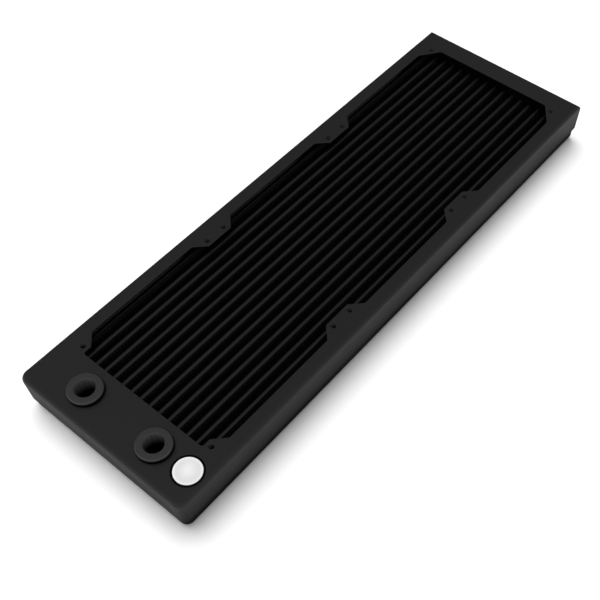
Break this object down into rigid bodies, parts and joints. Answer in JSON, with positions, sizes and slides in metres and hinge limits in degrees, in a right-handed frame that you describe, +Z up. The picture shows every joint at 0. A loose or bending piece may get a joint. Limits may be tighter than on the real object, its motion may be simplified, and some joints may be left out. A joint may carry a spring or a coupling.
{
  "type": "liquid cooling radiator",
  "caption": "Slim black radiator that cools coolant in flat finned tubes, with two threaded ports at one end and screw tabs for fans on both faces.",
  "frame": {"origin": "centre of the fan row's screw pattern, on the bottom face", "axes": "+X from the port end to the far end, +Y to the left side seen from the port end, +Z up, out of the face with the ports"},
  "size_m": [0.4025, 0.1324, 0.0315],
  "materials": {
    "housing_paint": "satin black powder coat on sheet steel",
    "port_paint": "matte black paint on machined brass",
    "tube_paint": "thin black paint on brass",
    "fin_paint": "thin black paint on copper strip",
    "tank_brass": "plain drawn brass",
    "badge": "white anodised, faintly spun",
    "adhesive": "double-sided foam tape"
  },
  "bodies": {
    "root": {"top_cover": "housing_paint", "bottom_cover": "housing_paint", "port_tank": "tank_brass", "tank_divider": "tank_brass", "port_header_plate": "tube_paint", "return_tank": "tank_brass", "return_header_plate": "tube_paint", "inlet_port_bushing": "port_paint", "outlet_port_bushing": "port_paint", "badge_disc": "badge", "badge_adhesive_pad": "adhesive", "left_side_plate": "housing_paint", "right_side_plate": "housing_paint", "flat_tube_01": "tube_paint", "flat_tube_02": "tube_paint", "flat_tube_03": "tube_paint", "flat_tube_04": "tube_paint", "flat_tube_05": "tube_paint", "flat_tube_06": "tube_paint", "flat_tube_07": "tube_paint", "flat_tube_08": "tube_paint", "flat_tube_09": "tube_paint", "flat_tube_10": "tube_paint", "flat_tube_11": "tube_paint", "flat_tube_12": "tube_paint", "flat_tube_13": "tube_paint", "flat_tube_14": "tube_paint", "fin_strip_01": "fin_paint", "fin_strip_02": "fin_paint", "fin_strip_03": "fin_paint", "fin_strip_04": "fin_paint", "fin_strip_05": "fin_paint", "fin_strip_06": "fin_paint", "fin_strip_07": "fin_paint", "fin_strip_08": "fin_paint", "fin_strip_09": "fin_paint", "fin_strip_10": "fin_paint", "fin_strip_11": "fin_paint", "fin_strip_12": "fin_paint", "fin_strip_13": "fin_paint", "fin_strip_14": "fin_paint", "fin_strip_15": "fin_paint"}
  },
  "joints": []
}
